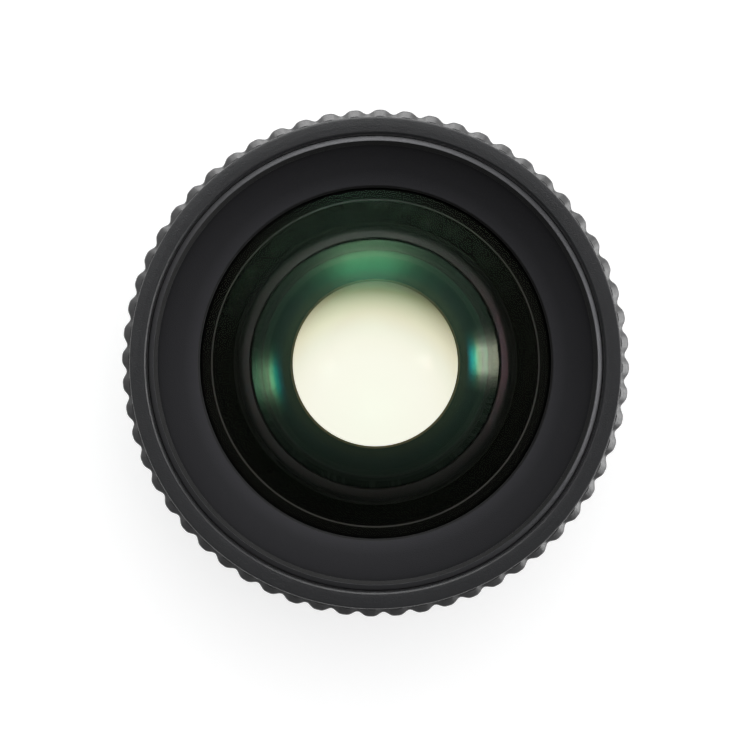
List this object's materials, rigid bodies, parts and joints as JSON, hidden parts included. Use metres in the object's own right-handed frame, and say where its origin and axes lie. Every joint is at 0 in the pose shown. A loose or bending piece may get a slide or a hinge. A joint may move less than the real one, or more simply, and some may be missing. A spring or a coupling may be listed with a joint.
{
  "type": "wide-angle conversion lens",
  "caption": "Wide-angle conversion lens: coated glass in a stepped barrel with a threaded front bezel, and a free-turning fluted ring that carries the rear thread.",
  "frame": {"origin": "on the optical axis, in the end face of the rear thread, which is the lowest point", "axes": "+Z along the optical axis, towards the subject; +X and +Y across it, +Y up in the picture"},
  "size_m": [0.0634, 0.0634, 0.035],
  "materials": {
    "black_anodised": "satin black anodised",
    "black_matt": "matt black against stray light",
    "coated_glass": "polished, with a green anti-reflection coating",
    "grip_rubber": "semi-gloss moulded",
    "seal_rubber": "matt",
    "glide_plastic": "smooth",
    "felt": "felt",
    "black_steel": "blackened"
  },
  "bodies": {
    "optical_unit": {"main_barrel": "black_anodised", "front_bezel": "black_anodised", "bezel_lock_screws": "black_steel", "light_baffle": "black_matt", "front_retaining_ring": "black_matt", "front_seat_gasket": "seal_rubber", "front_element": "coated_glass", "middle_retaining_ring": "black_matt", "middle_element": "coated_glass", "inner_baffle_tube": "black_matt", "rear_crown_element": "coated_glass", "rear_flint_element": "coated_glass", "rear_retaining_ring": "black_matt", "front_glide_washer": "glide_plastic", "rear_glide_washer": "glide_plastic", "barrel_lock_ring": "black_anodised", "light_seal_ring": "felt"},
    "attachment_ring": {"attachment_shell": "black_anodised", "grip_sleeve": "grip_rubber", "rear_housing": "black_anodised", "thread_ring": "black_anodised", "mount_screws": "black_steel", "housing_lock_screws": "black_steel"}
  },
  "joints": [
    {"name": "attachment_ring_turn", "type": "hinge", "parent": "optical_unit", "child": "attachment_ring", "pos_m": [0, 0, 0.0198], "axis": [0, 0, 1], "continuous": true}
  ]
}
